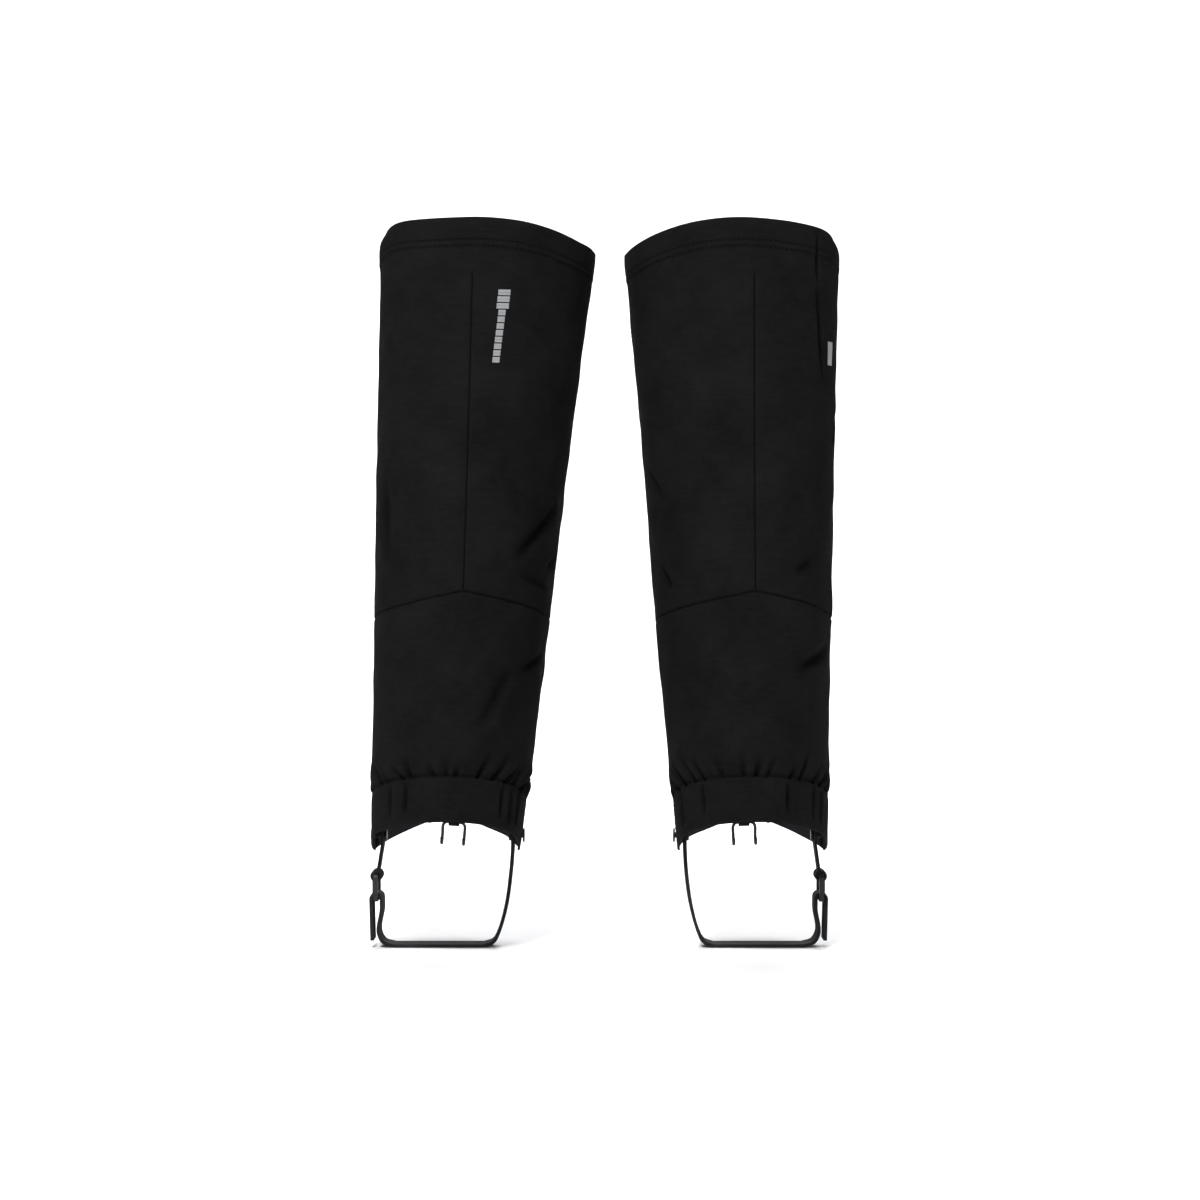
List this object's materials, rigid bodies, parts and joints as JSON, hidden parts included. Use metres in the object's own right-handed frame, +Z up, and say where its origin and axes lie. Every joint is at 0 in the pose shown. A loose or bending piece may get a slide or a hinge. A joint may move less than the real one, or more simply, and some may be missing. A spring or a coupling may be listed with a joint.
{
  "type": "gaiters",
  "caption": "Knee-high mountaineering gaiters: fabric leg tubes with a front hook-and-loop flap, gathered elastic hem, lace hook and buckled instep strap.",
  "frame": {"origin": "bottom centre of the pair's bounding box, level with the underside of the instep straps", "axes": "+Z up along the legs, +Y towards the toes, +X towards the wearer's right"},
  "size_m": [0.3262, 0.1764, 0.4991],
  "materials": {
    "shell_fabric": "matt black waterproof laminate with a fine plain weave",
    "lining": "matt dark grey woven facing",
    "elastic": "black ribbed elastic",
    "hook_and_loop": "black hook-and-loop tape",
    "webbing": "black polyester webbing",
    "strap_rubber": "black coated strap, slightly glossy",
    "steel": "blackened steel",
    "plastic": "black acetal"
  },
  "bodies": {
    "left_shell": {"left_upper_back_inner": "shell_fabric", "left_upper_back_outer": "shell_fabric", "left_lower_back": "shell_fabric", "left_hem_band": "shell_fabric", "left_front_inner": "shell_fabric", "left_front_outer": "shell_fabric", "left_top_facing": "lining", "left_top_elastic": "elastic", "left_hem_elastic": "elastic", "left_loop_strip": "hook_and_loop", "left_snap_stud": "steel", "left_lace_tab": "webbing", "left_post_inner": "steel", "left_post_outer": "steel", "left_cinch_webbing": "webbing", "left_cinch_buckle": "plastic", "left_cinch_anchor": "webbing"},
    "left_closure": {"left_flap": "shell_fabric", "left_hook_strip": "hook_and_loop", "left_snap_cap": "steel"},
    "left_instep": {"left_strap": "strap_rubber", "left_strap_tab": "strap_rubber", "left_buckle_frame": "steel"},
    "left_tongue": {"left_buckle_prong": "steel"},
    "left_hook": {"left_lace_hook": "steel"},
    "right_shell": {"right_upper_back_inner": "shell_fabric", "right_upper_back_outer": "shell_fabric", "right_lower_back": "shell_fabric", "right_hem_band": "shell_fabric", "right_front_inner": "shell_fabric", "right_front_outer": "shell_fabric", "right_top_facing": "lining", "right_top_elastic": "elastic", "right_hem_elastic": "elastic", "right_loop_strip": "hook_and_loop", "right_snap_stud": "steel", "right_lace_tab": "webbing", "right_post_inner": "steel", "right_post_outer": "steel", "right_cinch_webbing": "webbing", "right_cinch_buckle": "plastic", "right_cinch_anchor": "webbing"},
    "right_closure": {"right_flap": "shell_fabric", "right_hook_strip": "hook_and_loop", "right_snap_cap": "steel"},
    "right_instep": {"right_strap": "strap_rubber", "right_strap_tab": "strap_rubber", "right_buckle_frame": "steel"},
    "right_tongue": {"right_buckle_prong": "steel"},
    "right_hook": {"right_lace_hook": "steel"}
  },
  "joints": [
    {"name": "pair_spacing", "type": "slide", "parent": "left_shell", "child": "right_shell", "axis": [1, 0, 0], "range_m": [0, 0.15]},
    {"name": "left_flap_open", "type": "hinge", "parent": "left_shell", "child": "left_closure", "pos_m": [-0.1277, 0.08074, 0.088], "axis": [0.0515, -0.0899, 0.9946], "range_deg": [0, 110]},
    {"name": "left_strap_swing", "type": "hinge", "parent": "left_shell", "child": "left_instep", "pos_m": [-0.1146, 0.00783, 0.078], "axis": [1, 0, 0], "range_deg": [-50, 30]},
    {"name": "left_buckle_tongue", "type": "hinge", "parent": "left_instep", "child": "left_tongue", "pos_m": [-0.15825, 0.00783, 0.05], "axis": [0, 1, 0], "range_deg": [0, 100]},
    {"name": "left_lace_hook_swing", "type": "hinge", "parent": "left_shell", "child": "left_hook", "pos_m": [-0.10828, 0.08088, 0.08077], "axis": [0.9974, 0.0068, -0.0711], "range_deg": [-25, 60]},
    {"name": "right_flap_open", "type": "hinge", "parent": "right_shell", "child": "right_closure", "pos_m": [0.12291, 0.08074, 0.088], "axis": [0.0157, 0.09, -0.9958], "range_deg": [0, 110]},
    {"name": "right_strap_swing", "type": "hinge", "parent": "right_shell", "child": "right_instep", "pos_m": [0.1091, 0.00783, 0.078], "axis": [1, 0, 0], "range_deg": [-50, 30]},
    {"name": "right_buckle_tongue", "type": "hinge", "parent": "right_instep", "child": "right_tongue", "pos_m": [0.15275, 0.00783, 0.05], "axis": [0, -1, 0], "range_deg": [0, 100]},
    {"name": "right_lace_hook_swing", "type": "hinge", "parent": "right_shell", "child": "right_hook", "pos_m": [0.10326, 0.08088, 0.08077], "axis": [0.9994, -0.0034, 0.0356], "range_deg": [-25, 60]}
  ]
}
